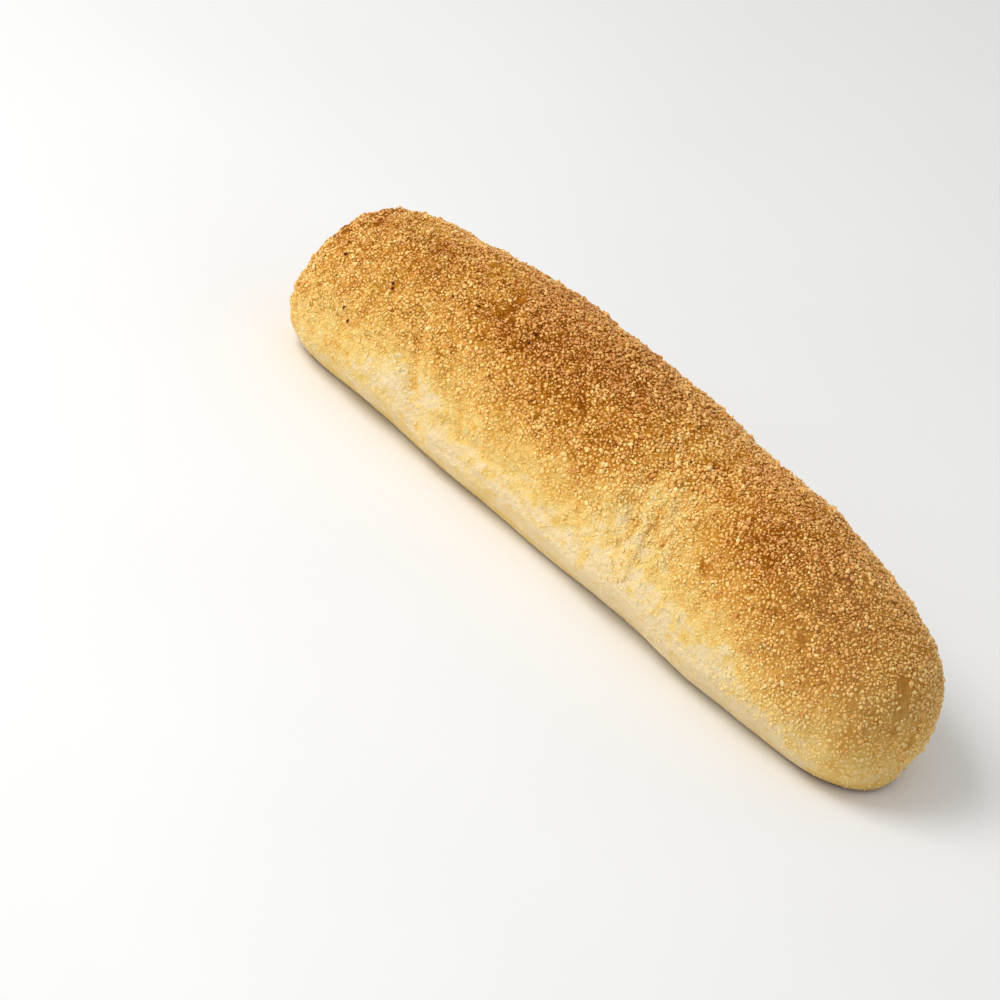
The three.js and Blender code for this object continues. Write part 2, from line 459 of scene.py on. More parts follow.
def ring_angles(shape, count):
    """Angles at even steps round the middle section, wider apart on the underside."""
    angle = np.linspace(-math.pi / 2, 1.5 * math.pi, OUTLINE_STEPS + 1)
    section = skin(shape, np.zeros_like(angle), np.ones_like(angle), angle)
    steps = np.linalg.norm(np.diff(section, axis=0), axis=1)
    steps *= np.where(section[1:, 2] < UNDERSIDE_HEIGHT, UNDERSIDE_SHARE, 1)
    walked = np.concatenate([[0], np.cumsum(steps)])
    return np.interp(np.linspace(0, walked[-1], count, endpoint=False), walked, angle)


def ring_net(rings, around):
    """Triangles of a net of rings between two tips, and their corners' places in a flat map."""
    ring = np.arange(rings)[:, None]
    spot = np.arange(around)[None, :]
    half_step = 0.5

    def vertex(level, place):
        inner = 1 + (level - 1) * around + place % around
        return np.where(level == 0, 0, np.where(level == rings, 1 + (rings - 1) * around, inner))

    def flat(level, place):
        tip = (level == 0) | (level == rings)
        shift = np.where(tip, half_step, 0)
        return np.stack(np.broadcast_arrays(level / rings, (place + shift) / around), -1)

    square = [(ring, spot), (ring + 1, spot), (ring + 1, spot + 1), (ring, spot + 1)]
    halves = ((0, 2, 1), (0, 3, 2))
    corners, places = [], []
    for half in halves:
        corners.append(np.stack([np.broadcast_to(vertex(*square[k]), (rings, around)) for k in half], -1))
        places.append(np.stack([flat(*square[k]) for k in half], -2))
    corners = np.concatenate([part.reshape(-1, 3) for part in corners])
    places = np.concatenate([part.reshape(-1, 3, 2) for part in places])
    first, second, third = corners.T
    whole = (first != second) & (second != third) & (third != first)
    return corners[whole], places[whole]


def normals_of(points, corners):
    """Outward unit normals at the vertices of a closed net."""
    a, b, c = (points[corners[:, k]] for k in range(3))
    facing = np.cross(b - a, c - a)
    summed = np.zeros_like(points)
    for k in range(3):
        for axis in range(3):
            summed[:, axis] += np.bincount(corners[:, k], facing[:, axis], len(points))
    return unit(summed)


def centred(points):
    """The points moved so that the middle of their box is over the middle of the loaf's."""
    middle = (points.min(axis=0) + points.max(axis=0)) / 2
    return points + (np.array(LOAF_MIDDLE) - middle) * (1, 1, 0)


# Bake, with places in millimetres and heights as shares of the rise from the pale band to the crown

END_DROP = 14 * MM  # how much lower the pale band lies at a tip
END_DROP_POWER = 4

# The pale wrinkled folds
FRONT_FOLD = Zone(29, 32, 13, 9.5, 1.25)
BACK_FOLD = Zone(-28, 31, 12, 10, 0.7)
FOLD_PALENESS = 0.32

# The crown
CROWN_BAKE = 0.7
BROWNEST_CROWN = Wave(-22, 0.3, 31)
NEAR_CROWN = Wave(70, 0.25, 26)
NEAR_CROWN_RISE = Ramp(0.2, 0.7)
NEAR_CROWN_BACK = Ramp(-14, 4, 0.7)
NEAR_TOP = Ramp(0.9, 1.05, 0.5)
NEAR_TOP_START = Ramp(66, 82)
SADDLE_WAVES = (Wave(36, 0.07, 9), Wave(64, 0.1, 18))
SADDLE_TOP = Ramp(0.75, 1)

# The two ends
FAR_END = Ramp(60, 88)
FAR_PALE_LEVEL = 9.5
FAR_BAKE_PER_MM = 0.026
FAR_MOST_BAKE = 0.76
FAR_TIP = Ramp(95, 106, 0.16)
NEAR_END = Ramp(90, 107)
NEAR_LEAST_BAKE = 0.09
NEAR_BAKE_PER_MM = 0.0148
NEAR_BLUSH = Zone(92, 29, 9, 7.5, 0.24)

# The sides of the far half
FAR_LOW_BAKE = Ramp(-20, 20, 0.07)
LOW_SIDE = Ramp(8, 24)
GOLDEN_LEVEL = 12
GOLDEN_LIFT = Ramp(-50, -30, 7)
GOLDEN_STRETCH = Ramp(-10, 30)
GOLDEN_RISE = Ramp(0, 9)
GOLDEN_TOP = Ramp(38, 46, 0.6)
GOLDEN_PALENESS = 0.1
FAR_BLUSH = Zone(-45, 40.5, 28, 4.5, 0.08)

# Mottling, and crumbs that cling together where the coat thins out
MOTTLE = (Layer(0.14, 13, 0), Layer(0.11, 6, 11), Layer(0.12, 2.5, 23))
MOTTLE_RISE = Ramp(-0.1, 0.3)
PATCHES = (Layer(0.6, 3.6, 41), Layer(0.5, 1.9, 47))
PATCH_BAKE = Ramp(0.1, 0.36, 0.1)
PATCH_PALENESS = Ramp(0.02, 0.25, 0.04)
THINNING_FOOT = Ramp(-0.4, -0.15)
THINNING_HEAD = Ramp(0.1, 0.4)

# Torn lines, and valleys between crumbs, which both carry painted shade in the bake
CRACKS = Tear(17, 83, 0.06, 21, 97)
CREVICES = Tear(6.5, 103, 0.11, 12, 109)
TEAR_BREAKS = Ramp(0, 0.3)
TORN_SHADE = 0.12
TORN_RISE = Ramp(0.3, 0.6)
CRUMBS = (Layer(2.2, 4.6, 37),)
CRUMBLY_RISE = Ramp(-0.15, 0.35)
LESS_CRUMBLY = Ramp(-20, 50, 0.45)
NOT_CRUMBLY = Ramp(75, 100)
VALLEYS = Ramp(0, 0.4)
VALLEY_SHADE = 0.14

# Wrinkles with their painted shade, single spots, and the lip over the base with its painted shadow line
WRINKLE_SWAY = (Layer(1, 6, 7),)
WRINKLE_FADE = (Layer(0.9, 8, 17),)
WRINKLE_MIDDLE = 0.7
WRINKLE_LEAST = 0.1
WRINKLE_MOST = 1.2
WRINKLE_SHADE = 0.18
FOLD_WRINKLE_SHADE = 0.16
SCORCH_BAKE = 0.6
CLUSTER_BAKE = 0.27
NEAR_BARE_BAKE = 0.25
FAR_BARE_BAKE = Ramp(103.5, 106, 0.08)
# Painted shadow line just above the base; below it the crust is baked a little more
LIP_SHADOW_LINE = Wave(3.4, 0.06, 0.7)
BELOW_LIP = Ramp(2.6, 3.4)
BELOW_LIP_BAKE = 0.03


def bake_height(look, shape, points):
    """Height over the pale band as a share of the rise to the brown crown, 0 at the band's edge."""
    reach = np.abs(points[:, 0]) / (shape.length / 2)
    level = look.pale_level - END_DROP * reach**END_DROP_POWER
    return (points[:, 2] - level) / look.bake_rise


def fold_zone(points):
    """1 in the wrinkled pale fold of the side that faces -Y, less in a smaller one on the other side."""
    x, y, z = (points / MM).T
    front = np.minimum(zone_at(FRONT_FOLD, x, z), 1) * (y < 0)
    back = zone_at(BACK_FOLD, x, z) * (y > 0)
    return front + back


def patches_at(points):
    """Above 0 where crumbs cling together, and below it where the dough is bare between them."""
    return layered(PATCHES, points)


def torn_at(tear, points):
    """1 along broken lines where the crust has torn, 0 away from them."""
    line = 1 - np.abs(layered([Layer(1, tear.size, tear.shift)], points)) / tear.width
    broken = climb(TEAR_BREAKS, layered([Layer(1, tear.gap, tear.gap_shift)], points))
    return np.clip(line, 0, 1) * broken


def crumbs_at(points):
    """Height of the crumbs that the crust breaks into, 0 in the narrow valleys between them."""
    return np.minimum(np.abs(layered(CRUMBS, points)), 1)


def crumbly_at(look, shape, points):
    """1 where the crust breaks into crumbs, towards -X, down to 0 on the smooth rounder end."""
    x = points[:, 0] / MM
    coated = climb(CRUMBLY_RISE, bake_height(look, shape, points))
    return coated * (1 - climb(LESS_CRUMBLY, x)) * (1 - climb(NOT_CRUMBLY, x))


def wrinkles_at(look, points):
    """Depth of the fine wrinkles, which sway and fade along their lines."""
    x, y, z = points.T
    x = x + look.wrinkle_sway * layered(WRINKLE_SWAY, points)
    depth = np.zeros(len(points))
    for wrinkle in WRINKLES:
        here = np.where(wrinkle.side * y > 0, crease_depth(wrinkle, x, z), 0)
        depth = np.maximum(depth, here)
    return depth * np.clip(WRINKLE_MIDDLE + layered(WRINKLE_FADE, points), WRINKLE_LEAST, WRINKLE_MOST)


def spots_near(spots, points):
    """1 at the middle of each spot, fading to 0 at about its radius."""
    near = np.zeros(len(points))
    for spot in spots:
        away = np.linalg.norm(points / MM - np.array(spot[:3]), axis=1)
        near = np.maximum(near, hump(away, 0, spot.radius))
    return near


def crown_toast(points, height):
    """Bake that rises with height to the brown crown, and pales in the folds."""
    x, y = points[:, 0] / MM, points[:, 1] / MM
    near_crown = wave_at(NEAR_CROWN, x) * climb(NEAR_CROWN_RISE, height) * (1 - climb(NEAR_CROWN_BACK, y))
    near_crown = near_crown * (1 - climb(NEAR_TOP, height) * climb(NEAR_TOP_START, x))
    saddle_top = sum(wave_at(wave, x) for wave in SADDLE_WAVES) * climb(SADDLE_TOP, height)
    crown = CROWN_BAKE + wave_at(BROWNEST_CROWN, x) + near_crown + saddle_top
    return crown * np.clip(height, 0, 1) - FOLD_PALENESS * fold_zone(points)


def end_toast(points, toast):
    """The bake with that of the two ends in its place there, and that of the far half's sides added."""
    x, z = x_and_z(points)
    far, near = climb(FAR_END, -x), climb(NEAR_END, x)
    far_toast = np.clip(FAR_BAKE_PER_MM * (z - FAR_PALE_LEVEL), 0, FAR_MOST_BAKE) + climb(FAR_TIP, -x)
    toast = toast * (1 - far) + far_toast * far
    toast = toast * (1 - near) + (NEAR_LEAST_BAKE + NEAR_BAKE_PER_MM * z) * near
    toast = toast + zone_at(NEAR_BLUSH, x, z)
    toast = toast + climb(FAR_LOW_BAKE, -x) * (1 - climb(LOW_SIDE, z))
    golden_from = GOLDEN_LEVEL + climb(GOLDEN_LIFT, x)
    golden = climb(GOLDEN_STRETCH, -x) * climb(GOLDEN_RISE, z - golden_from) * (1 - climb(GOLDEN_TOP, z))
    return toast - GOLDEN_PALENESS * golden + zone_at(FAR_BLUSH, x, z)


def mottled_toast(points, height, toast):
    """The bake with its mottling, its clinging crumbs and its single stretches added."""
    x, z = x_and_z(points)
    toast = toast + layered(MOTTLE, points) * climb(MOTTLE_RISE, height)
    patches = patches_at(points)
    thinning = climb(THINNING_FOOT, height) * (1 - climb(THINNING_HEAD, height))
    toast = toast + (climb(PATCH_BAKE, patches) - climb(PATCH_PALENESS, -patches)) * thinning
    for touch in TOUCHES:
        toast = toast + zone_at(touch, x, z)
    return toast


def marked_toast(look, shape, points, height, toast):
    """The bake with its spots added, and with painted shade along its torn lines, in the valleys between
    crumbs and in the wrinkles.
    """
    x = points[:, 0] / MM
    torn = np.maximum(torn_at(CRACKS, points), torn_at(CREVICES, points))
    # Painted shade along the torn grooves
    toast = toast + TORN_SHADE * torn * climb(TORN_RISE, height)
    # Painted shade in the narrow valleys between crumbs
    valleys = (1 - climb(VALLEYS, crumbs_at(points))) * crumbly_at(look, shape, points)
    # Painted shade in the wrinkles, by their depth, stronger in the pale folds
    wrinkle_shade = WRINKLE_SHADE + FOLD_WRINKLE_SHADE * fold_zone(points)
    toast = toast + VALLEY_SHADE * valleys + wrinkle_shade * np.minimum(wrinkles_at(look, points) / MM, 1)
    scorched, clusters = spots_near(SCORCHED_SPOTS, points), spots_near(CLUSTERS, points)
    toast = toast + SCORCH_BAKE * scorched + CLUSTER_BAKE * clusters
    tips = NEAR_BARE_BAKE * climb(NEAR_END, x) + climb(FAR_BARE_BAKE, -x)
    return toast + tips * spots_near(BARE_PATCHES, points)


def toast_at(look, shape, points):
    """How far the crust is baked, from 0, pale dough, to 1, the brown of the crown, with painted shade in
    its grooves, valleys and wrinkles and a painted shadow line over the base.
    """
    height = bake_height(look, shape, points)
    toast = end_toast(points, crown_toast(points, height))
    toast = mottled_toast(points, height, toast)
    toast = marked_toast(look, shape, points, height, toast)
    z = points[:, 2] / MM
    # Painted shadow line over the base, and the slightly more baked band below it
    lip_shadow_and_band = wave_at(LIP_SHADOW_LINE, z) + BELOW_LIP_BAKE * (1 - climb(BELOW_LIP, z))
    return np.clip(toast + lip_shadow_and_band, 0, 1)


# Cover, with places in millimetres and heights as shares of the rise from the pale band to the crown

COVER_LAYERS = (Layer(0.12, 9, 43),)
COVER_PATCHINESS = 0.18
LEAST_COVER = 0.013
COVER_RISE = Ramp(-0.25, 0.5)
COVER_POWER = 1.8
NEAR_THINNING = 0.5
NEAR_THINNING_RISE = Ramp(12, 24, 0.22)
NEAR_THINNING_START = Ramp(80, 104)
FULL_CROWN = Ramp(0.7, 1.1)
NEAR_FOOT = Ramp(78, 100, 0.24)
FOOT_TOP = Ramp(8, 16)
BELLY_START = Ramp(56, 76)
BELLY_END = Ramp(94, 104)
BELLY_BAND = Wave(15, 1, 6)
BELLY_COVER = 0.2
GAP_LAYERS = (Layer(1, 6, 61),)
GAPS = Ramp(0.36, 0.5, 0.7)
CRACK_LOSS = 0.9
CREVICE_LOSS = 0.6
BARE_LOSS = Ramp(0.25, 0.6, 0.97)
CLUSTER_COVER = 0.75
LOWEST_COVER = 6
LOWER_AT_ENDS = Ramp(80, 104, 5.5)
COVER_EDGE = Ramp(0, 4)

# Share of the dull tan in the grains
DULL_END = Ramp(72, 92, 0.2)
DULL_RISE = Ramp(10, 24)


def near_belly(points):
    """1 low on the sides towards the rounder end, where pale grains go down to the band."""
    x, z = x_and_z(points)
    return climb(BELLY_START, x) * (1 - climb(BELLY_END, x)) * wave_at(BELLY_BAND, z)


def cover_at(look, shape, points):
    """Share of the full coat of semolina, thin low on the sides and none on the underside."""
    x, z = x_and_z(points)
    height = bake_height(look, shape, points)
    height = height + layered(COVER_LAYERS, points) + COVER_PATCHINESS * patches_at(points)
    cover = LEAST_COVER + (1 - LEAST_COVER) * climb(COVER_RISE, height) ** COVER_POWER
    thin = NEAR_THINNING + climb(NEAR_THINNING_RISE, z)
    cover *= 1 - thin * climb(NEAR_THINNING_START, x) * (1 - climb(FULL_CROWN, height))
    cover = cover + climb(NEAR_FOOT, x) * (1 - climb(FOOT_TOP, z))
    cover = cover + BELLY_COVER * near_belly(points)
    gaps = climb(GAPS, layered(GAP_LAYERS, points))
    cracks, crevices = torn_at(CRACKS, points), torn_at(CREVICES, points)
    cover *= (1 - gaps) * (1 - CRACK_LOSS * cracks) * (1 - CREVICE_LOSS * crevices)
    cover *= 1 - climb(BARE_LOSS, spots_near(BARE_PATCHES, points))
    cover = np.maximum(cover, CLUSTER_COVER * spots_near(CLUSTERS, points))
    lowest = LOWEST_COVER - climb(LOWER_AT_ENDS, np.abs(x))
    return cover * climb(COVER_EDGE, z - lowest)


def dullness_at(points):
    """Share of the dull tan in the grains, which grows upwards and towards the rounder end."""
    x, z = x_and_z(points)
    return climb(DULL_END, x) * climb(DULL_RISE, z)


# Relief, with the sizes of its layers in millimetres

LUMPS = (Layer(1, 15, 2), Layer(0.8, 8, 3), Layer(0.4, 3.6, 5))
GRIT = (Layer(1, 1.9, 19), Layer(0.6, 1.2, 29))
FOLDS = (Layer(1, 4.2, 71), Layer(0.6, 2.4, 73))
RIPPLES = (Layer(1, (26, 5, 2.4), 13),)
BAKED = Ramp(0.1, 0.7)
RIPPLED = Ramp(0, 0.3)
SMOOTHER_END = Ramp(80, 104, 0.6)
PALE_GRIT = 0.6
BAKED_GRIT = 0.8
CRUMB_MIDDLE = 0.5
RELIEF_START = Ramp(0.2 * MM, 4 * MM)


def fine_relief(look, shape, points):
    """Height of the crust's own lumps, grit, folds, cracks and ripples over the smooth skin."""
    over_band = bake_height(look, shape, points)
    baked = climb(BAKED, over_band)
    rough = PALE_GRIT + BAKED_GRIT * baked
    smooth_end = climb(SMOOTHER_END, points[:, 0] / MM)
    height = look.lump_height * layered(LUMPS, points) - look.sink
    height += look.rough_height * layered(GRIT, points) * rough * (1 - smooth_end)
    height += look.crumb_height * (crumbs_at(points) - CRUMB_MIDDLE) * crumbly_at(look, shape, points)
    height += look.fold_height * fold_zone(points) * layered(FOLDS, points) - wrinkles_at(look, points)
    height -= look.crack_depth * (torn_at(CRACKS, points) + torn_at(CREVICES, points) * baked)
    height += look.ripple_depth * (1 - climb(RIPPLED, over_band)) * layered(RIPPLES, points)
    return height * climb(RELIEF_START, points[:, 2])


# Meshes

def joined_mesh(name, points, corners, smooth=True):
    """An object made of triangles, from arrays of points and of each triangle's vertices."""
    mesh = bpy.data.meshes.new(name)
    mesh.vertices.add(len(points))
    mesh.vertices.foreach_set("co", points.astype(np.float32).ravel())
    mesh.loops.add(corners.size)
    mesh.loops.foreach_set("vertex_index", corners.astype(np.int32).ravel())
    mesh.polygons.add(len(corners))
    mesh.polygons.foreach_set("loop_start", np.arange(0, corners.size, 3, dtype=np.int32))
    mesh.polygons.foreach_set("use_smooth", np.full(len(corners), smooth))
    mesh.update(calc_edges=True)
    if mesh.validate():
        raise RuntimeError(f"the mesh of {name} has faces that don't hold together")
    piece = bpy.data.objects.new(name, mesh)
    bpy.context.scene.collection.objects.link(piece)
    return piece


def write_values(piece, name, values):
    """Keeps one number for each vertex under a name that materials can read."""
    held = piece.data.attributes.new(name, "FLOAT", "POINT")
    held.data.foreach_set("value", values.astype(np.float32))


def read_values(piece, name):
    """The numbers that write_values kept."""
    values = np.zeros(len(piece.data.vertices), np.float32)
    piece.data.attributes[name].data.foreach_get("value", values)
    return values.astype(float)


def write_map(piece, places):
    """Lays the triangles' corners out in the flat map."""
    layer = piece.data.uv_layers.new(name=BAKE_MAP)
    layer.uv.foreach_set("vector", places.astype(np.float32).ravel())


def settle(piece, material):
    """Gives a piece its material, ties it to the loaf's body, and hides the loaf's own part, which the
    piece dresses.
    """
    piece.data.materials.append(material)
    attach(piece, BODY)
    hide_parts(NODE)


def read_surface(piece):
    """The crust's points, normals, triangles, bake and cover as arrays."""
    mesh = piece.data
    points = np.zeros(len(mesh.vertices) * 3, np.float32)
    mesh.vertices.foreach_get("co", points)
    corners = np.zeros(len(mesh.loops), np.int32)
    mesh.loops.foreach_get("vertex_index", corners)
    points = points.reshape(-1, 3).astype(float)
    corners = corners.reshape(-1, 3)
    return Surface(points, normals_of(points, corners), corners,
                   read_values(piece, "toast"), read_values(piece, "cover"))


# Grains

GRAIN_FLATTENING = (1.05, 0.95, 0.75)
GRAIN_STRETCH = 0.14  # how far the three sizes of a grain stray from these shares
GRAIN_UNEVENNESS = 0.2
GRAIN_SWAY = 0.5  # how far a grain leans out of lying flat
STRAYING = 1.7  # half the range of an even spread that strays by about 1
EDGE_SLACK = 1.01
MAP_TRIANGLE = ((0.1, 0.1), (0.9, 0.1), (0.5, 0.9))  # a face in its grain's square of the flat map


def icosahedron():
    """Corners of unit length and outward triangles of an icosahedron."""
    golden = (1 + 5**0.5) / 2
    corners = []
    for one in (-1, 1):
        for other in (-golden, golden):
            corners += [(0, one, other), (one, other, 0), (other, 0, one)]
    points = np.array(corners, float)
    edge = 2.0
    count = len(points)
    faces = []
    for a in range(count):
        for b in range(a + 1, count):
            for c in range(b + 1, count):
                sides = [np.linalg.norm(points[i] - points[j]) for i, j in ((a, b), (b, c), (c, a))]
                if max(sides) < edge * EDGE_SLACK:
                    outward = np.cross(points[b] - points[a], points[c] - points[a]) @ points[a] > 0
                    faces.append((a, b, c) if outward else (a, c, b))
    return points / np.linalg.norm(points[0]), np.array(faces)


def octahedron():
    """Corners of unit length and outward triangles of an octahedron."""
    points = np.array([(1, 0, 0), (-1, 0, 0), (0, 1, 0), (0, -1, 0), (0, 0, 1), (0, 0, -1)], float)
    faces = []
    for x in (0, 1):
        for y in (2, 3):
            for z in (4, 5):
                even = (x + y + z) % 2 == 0
                faces.append((x, y, z) if even else (x, z, y))
    return points, np.array(faces)


def lying_turns(outward, sway, draw):
    """Rotation matrices whose third axis points outward, more or less, with any turn about it."""
    upright = unit(outward + sway * draw.normal(size=outward.shape))
    along = draw.normal(size=outward.shape)
    along = unit(along - upright * (along * upright).sum(axis=1, keepdims=True))
    return np.stack([along, np.cross(upright, along), upright], -1)


def random_places(surface, chance, count, draw):
    """Places drawn over the triangles by area times chance: triangle, and shares of its three corners."""
    a, b, c = (surface.points[surface.corners[:, k]] for k in range(3))
    area = np.linalg.norm(np.cross(b - a, c - a), axis=1) / 2
    weight = area * chance[surface.corners].mean(axis=1)
    tries = int(count * weight.sum())
    triangle = draw.choice(len(weight), size=tries, p=weight / weight.sum())
    along, up = draw.random((2, tries))
    folded = along + up > 1
    along, up = np.where(folded, 1 - along, along), np.where(folded, 1 - up, up)
    return surface.corners[triangle], np.stack([1 - along - up, along, up], -1)


def on_surface(values, corners, shares):
    """Values of the vertices carried to the drawn places."""
    spread = shares[:, :, None] if values.ndim == 2 else shares
    return (values[corners] * spread).sum(axis=1)


def spaced_out(points, radii, overlap):
    """Which points keep clear of the kept ones before them, by a share of their two radii."""
    cell = 2 * overlap * radii.max()
    held = {}
    kept = []
    cells = np.floor(points / cell).astype(int)
    around = [(i, j, k) for i in (-1, 0, 1) for j in (-1, 0, 1) for k in (-1, 0, 1)]
    for index, (place, radius, home) in enumerate(zip(points.tolist(), radii.tolist(), cells.tolist())):
        clear = True
        for i, j, k in around:
            for px, py, pz, other in held.get((home[0] + i, home[1] + j, home[2] + k), ()):
                gap = overlap * (radius + other)
                if (place[0] - px) ** 2 + (place[1] - py) ** 2 + (place[2] - pz) ** 2 < gap * gap:
                    clear = False
                    break
            if not clear:
                break
        if clear:
            held.setdefault(tuple(home), []).append((*place, radius))
            kept.append(index)
    return np.array(kept)


def picked(items, chosen):
    """Some of the items, whose parts are arrays of one length."""
    return type(items)(*(part[chosen] for part in items))


def grain_squares(count, faces):
    """A square of the flat map for each grain, so that its own colour fills it."""
    across = math.ceil(math.sqrt(count))
    index = np.arange(count)
    low = np.stack([index % across, index // across], -1)
    squares = (low[:, None, None, :] + np.array(MAP_TRIANGLE)[None, None]) / across
    return np.broadcast_to(squares, (count, faces, 3, 2))


def grains_mesh(name, form, grains, flattening, unevenness, draw):
    """Many grains joined into one mesh, each laid down, turned and knocked out of true in its own way."""
    corners, faces = form
    count = len(grains.centres)
    knocks = 1 + unevenness * draw.uniform(-STRAYING, STRAYING, size=(count, len(corners), 1))
    stretch = 1 + GRAIN_STRETCH * draw.uniform(-STRAYING, STRAYING, size=(count, 1, 3))
    shapes = corners[None] * knocks * stretch * np.array(flattening) * grains.radii[:, None, None]
    turns = lying_turns(grains.outward, GRAIN_SWAY, draw)
    points = np.einsum("nij,nkj->nki", turns, shapes) + grains.centres[:, None, :]
    triangles = faces[None] + len(corners) * np.arange(count)[:, None, None]
    piece = joined_mesh(name, points.reshape(-1, 3), triangles.reshape(-1, 3), smooth=False)
    write_values(piece, "toast", np.repeat(grains.bake, len(corners)))
    write_values(piece, "dull", np.repeat(dullness_at(grains.centres), len(corners)))
    write_map(piece, grain_squares(count, len(faces)))
    return piece


# Materials

CRUST_FINISH = {
    "Specular IOR Level": 0.06,
    "Subsurface Weight": 0.12,
    "Subsurface Radius": (1.0, 0.55, 0.25),
    "Subsurface Scale": 1.5 * MM,
}
GRAIN_FINISH = {
    "Roughness": 0.3,
    "Specular IOR Level": 0.5,
    "Sheen Weight": 0.06,
    "Subsurface Weight": 0.25,
    "Subsurface Radius": (1.0, 0.6, 0.25),
    "Subsurface Scale": 0.5 * MM,
}
BRAN_FINISH = {"Roughness": 0.8, "Specular IOR Level": 0.1}
FLOOR_FINISH = {"Roughness": 0.9, "Specular IOR Level": 0.1}
BRAN_STREAKS = 2  # how many times as bright as the bran its streaks are
FLOOR_CLOUDS = 0.98
GAP_WIDTH = 0.2  # as a share of a crumb


def add_node(tree, kind, inputs=(), **settings):
    """A node with its settings, and with the inputs that are given as name and value or link."""
    node = tree.nodes.new(kind)
    for name, value in settings.items():
        setattr(node, name, value)
    for name, value in dict(inputs).items():
        if isinstance(value, bpy.types.NodeSocket):
            tree.links.new(value, node.inputs[name])
        else:
            node.inputs[name].default_value = value
    return node


def new_material(name, finish):
    """A node material and its shader, with the shader's plain inputs set."""
    material = bpy.data.materials.new(name)
    material.use_nodes = True
    shader = material.node_tree.nodes["Principled BSDF"]
    for key, value in finish.items():
        shader.inputs[key].default_value = value
    return material, material.node_tree, shader


def vertex_value(tree, name):
    """The socket of a number kept at the vertices."""
    return add_node(tree, "ShaderNodeAttribute", attribute_name=name).outputs["Fac"]


def surface_noise(tree, size, detail=2.0):
    """Noise over the surface with lumps of about this size, from 0 to 1."""
    place = add_node(tree, "ShaderNodeTexCoord").outputs["Object"]
    texture = add_node(tree, "ShaderNodeTexNoise", {"Vector": place, "Scale": 1 / size, "Detail": detail})
    return texture.outputs["Fac"]


def scaled(tree, value, low, high):
    """Carries 0 to 1 over to low to high."""
    inputs = {"Value": value, "To Min": low, "To Max": high}
    return add_node(tree, "ShaderNodeMapRange", inputs, clamp=False).outputs["Result"]


def total(tree, *values):
    """The sum of several sockets."""
    result = values[0]
    for value in values[1:]:
        result = add_node(tree, "ShaderNodeMath", {0: result, 1: value}, operation="ADD").outputs[0]
    return result


def product(tree, value, other):
    """Two sockets multiplied."""
    return add_node(tree, "ShaderNodeMath", {0: value, 1: other}, operation="MULTIPLY").outputs[0]


def mixed(tree, share, colour, other):
    """A colour that goes over to another one."""
    node = add_node(tree, "ShaderNodeMix", {"Factor": share, "A": colour, "B": other}, data_type="RGBA")
    return node.outputs["Result"]


def crumb_gaps(tree, size, sway):
    """1 in the narrow gaps between crumbs of about this size, 0 on the crumbs."""
    place = add_node(tree, "ShaderNodeTexCoord").outputs["Object"]
    cloud = add_node(tree, "ShaderNodeTexNoise", {"Vector": place, "Scale": 1 / size, "Detail": 1.0})
    swayed = {0: cloud.outputs["Color"], "Scale": sway}
    push = add_node(tree, "ShaderNodeVectorMath", swayed, operation="SCALE")
    moved = add_node(tree, "ShaderNodeVectorMath", {0: place, 1: push.outputs[0]}, operation="ADD")
    cells = add_node(tree, "ShaderNodeTexVoronoi", {"Vector": moved.outputs[0], "Scale": 1 / size},
                     feature="DISTANCE_TO_EDGE")
    fading = {"Value": cells.outputs["Distance"], "From Max": GAP_WIDTH, "To Min": 1.0, "To Max": 0.0}
    gap = add_node(tree, "ShaderNodeMapRange", fading, interpolation_type="SMOOTHSTEP")
    return gap.outputs["Result"]


def colour_ramp(tree, value, stops):
    """A colour read from stops of place and colour."""
    node = add_node(tree, "ShaderNodeValToRGB", {"Fac": value})
    elements = node.color_ramp.elements
    while len(elements) < len(stops):
        elements.new(0.5)
    for element, (place, colour) in zip(elements, stops):
        element.position = place
        element.color = colour
    return node.outputs["Color"]


def brightened(colour, times):
    """A colour made brighter or darker."""
    return [value * times for value in colour[:3]] + [1]


def crust_material(look):
    """Baked dough: pale at the sides, brown on the crown, mottled, with fine pores, and with painted shade
    in the narrow gaps between crumbs.
    """
    material, tree, shader = new_material("baked_crust", CRUST_FINISH)
    mottle = scaled(tree, surface_noise(tree, size=5 * MM, detail=4), low=-0.16, high=0.16)
    freckle = scaled(tree, surface_noise(tree, size=1.1 * MM, detail=2), low=-0.3, high=0.3)
    freckle = product(tree, freckle, vertex_value(tree, "freckled"))
    bake = total(tree, vertex_value(tree, "toast"), mottle, freckle)
    crumbly = vertex_value(tree, "crumbly")
    patchy = scaled(tree, surface_noise(tree, size=4 * MM), low=-0.5, high=2)
    gaps = product(tree, product(tree, crumb_gaps(tree, size=1.5 * MM, sway=1.6 * MM), crumbly), patchy)
    # Painted shade: the gaps between crumbs are drawn darker, and the bump below also sinks them
    bake = total(tree, bake, scaled(tree, gaps, low=0, high=0.18))
    stops = ((0.02, look.dough), (0.16, look.straw), (0.42, look.gold), (0.72, look.amber), (1, look.brown))
    crust = mixed(tree, vertex_value(tree, "tan"), colour_ramp(tree, bake, stops), look.tan)
    crust = mixed(tree, vertex_value(tree, "under"), crust, look.base)
    tree.links.new(crust, shader.inputs["Base Color"])
    roughness = scaled(tree, surface_noise(tree, size=2 * MM), low=0.58, high=0.85)
    tree.links.new(roughness, shader.inputs["Roughness"])
    pores = scaled(tree, surface_noise(tree, size=0.4 * MM), low=0, high=0.4)
    grit = total(tree, surface_noise(tree, size=1.2 * MM, detail=3), pores)
    grit = total(tree, grit, scaled(tree, gaps, low=0, high=-0.4))
    bump = add_node(tree, "ShaderNodeBump", {"Height": grit, "Strength": 1.0, "Distance": 0.9 * MM})
    tree.links.new(bump.outputs["Normal"], shader.inputs["Normal"])
    return material


